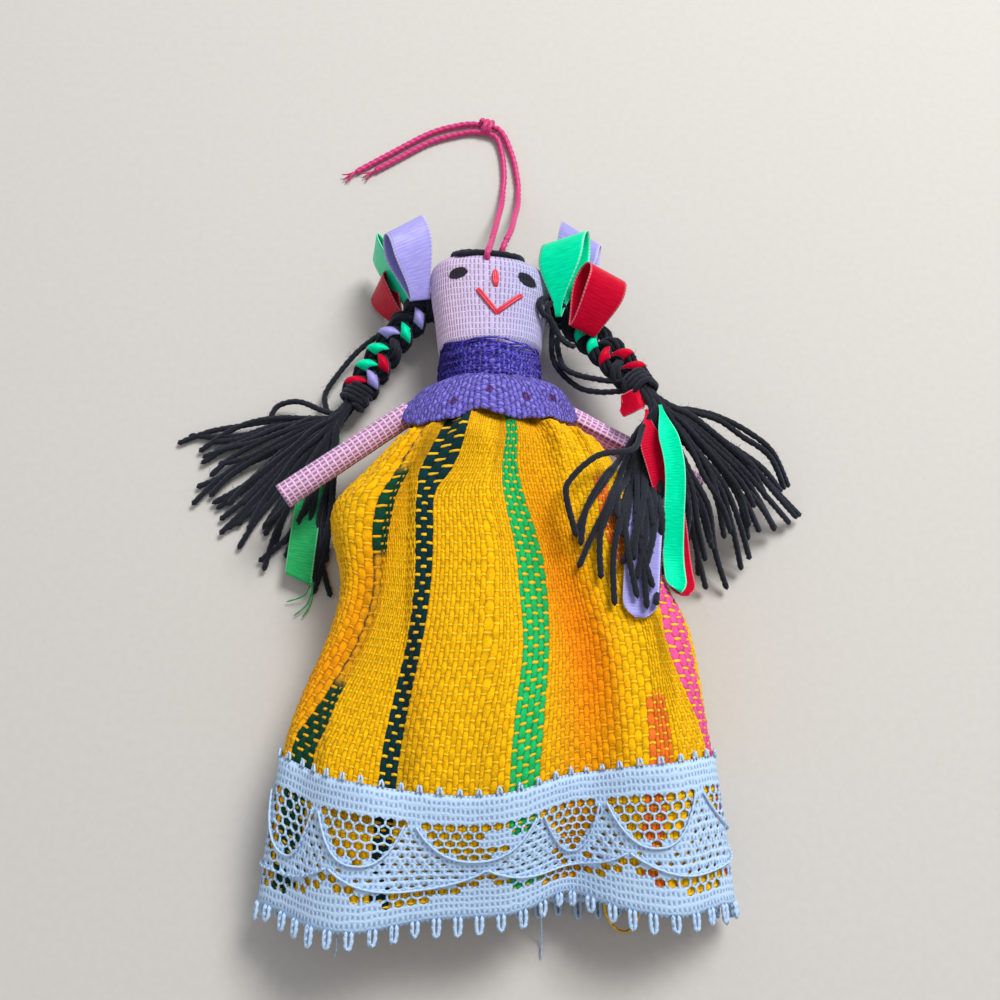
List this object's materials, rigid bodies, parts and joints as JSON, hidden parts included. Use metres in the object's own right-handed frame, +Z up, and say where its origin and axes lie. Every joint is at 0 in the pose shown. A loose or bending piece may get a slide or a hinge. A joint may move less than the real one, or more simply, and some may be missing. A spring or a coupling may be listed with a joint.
{
  "type": "rag doll ornament",
  "caption": "Stuffed rag doll ornament with gathered skirt, lace hem, ribboned yarn braids, rolled gauze arms and a hanging cord loop, lying on its back.",
  "frame": {"origin": "on the flat back of the skirt, on the doll's centre line, a little below the waist", "axes": "+Y from the hem to the crown, +Z up from the surface that the doll lies on, +X to the right of a viewer who faces the doll"},
  "size_m": [0.0996, 0.1336, 0.022],
  "materials": {
    "gauze": "open plain weave, matte",
    "stuffing": "rolled cotton cloth and sewing thread, matte",
    "yarn": "two-ply yarn, fuzzy and matte",
    "stitch_thread": "embroidery thread, soft sheen",
    "band_cloth": "crinkled gauze, matte",
    "knit": "bumpy woven cloth, matte",
    "skirt_cloth": "loose plain weave with coloured stripes, matte",
    "lace": "machine-made edging lace, satin",
    "lilac_satin": "satin ribbon",
    "green_satin": "satin ribbon",
    "red_satin": "satin ribbon",
    "cord_thread": "twisted cord, soft sheen"
  },
  "bodies": {
    "doll": {"head_cover": "gauze", "head_stuffing": "stuffing", "hair_cap": "yarn", "nose_stitch": "stitch_thread", "mouth_stitch_left": "stitch_thread", "mouth_stitch_right": "stitch_thread", "torso_core": "stuffing", "neck_band": "band_cloth", "blouse": "knit", "skirt": "skirt_cloth", "lace_trim": "lace", "waist_thread": "stuffing", "left_braid_root": "yarn", "right_braid_root": "yarn", "left_lilac_loop": "lilac_satin", "left_green_loop": "green_satin", "left_red_loop": "red_satin", "right_lilac_loop": "lilac_satin", "right_green_loop": "green_satin", "right_red_loop": "red_satin"},
    "left_arm": {"left_arm": "gauze"},
    "right_arm": {"right_arm": "gauze"},
    "left_braid": {"left_braid": "yarn", "left_braid_tie": "yarn"},
    "right_braid": {"right_braid": "yarn", "right_braid_tie": "yarn"},
    "left_tassel": {"left_tassel": "yarn", "left_green_tail": "green_satin"},
    "right_tassel": {"right_tassel": "yarn", "right_green_tail": "green_satin", "right_red_tail": "red_satin", "right_lilac_tail": "lilac_satin"},
    "hanging_loop": {"loop_strand_front": "cord_thread", "loop_strand_back": "cord_thread", "loop_knot": "cord_thread", "loop_tail_long": "cord_thread", "loop_tail_short": "cord_thread"}
  },
  "joints": [
    {"name": "left_arm_swing", "type": "hinge", "parent": "doll", "child": "left_arm", "pos_m": [-0.0139, 0.0122, 0.0098], "axis": [0, 0, -1], "range_deg": [0, 35]},
    {"name": "right_arm_swing", "type": "hinge", "parent": "doll", "child": "right_arm", "pos_m": [0.0139, 0.0122, 0.0075], "axis": [0, 0, 1], "range_deg": [0, 15]},
    {"name": "left_braid_swing", "type": "hinge", "parent": "doll", "child": "left_braid", "pos_m": [-0.0146, 0.02869, 0.0052], "axis": [0, 0, -1], "range_deg": [0, 30]},
    {"name": "right_braid_swing", "type": "hinge", "parent": "doll", "child": "right_braid", "pos_m": [0.0148, 0.02829, 0.0075], "axis": [0, 0, 1], "range_deg": [0, 25]},
    {"name": "left_tassel_swing", "type": "hinge", "parent": "left_braid", "child": "left_tassel", "pos_m": [-0.0234, 0.01506, 0.00327], "axis": [0, 0, -1], "range_deg": [0, 25]},
    {"name": "right_tassel_swing", "type": "hinge", "parent": "right_braid", "child": "right_tassel", "pos_m": [0.02496, 0.01354, 0.01269], "axis": [0, 0, 1], "range_deg": [0, 20]},
    {"name": "hanging_loop_swing", "type": "hinge", "parent": "doll", "child": "hanging_loop", "pos_m": [0, 0.04238, 0.0104], "axis": [1, 0, 0], "range_deg": [0, 90]}
  ]
}
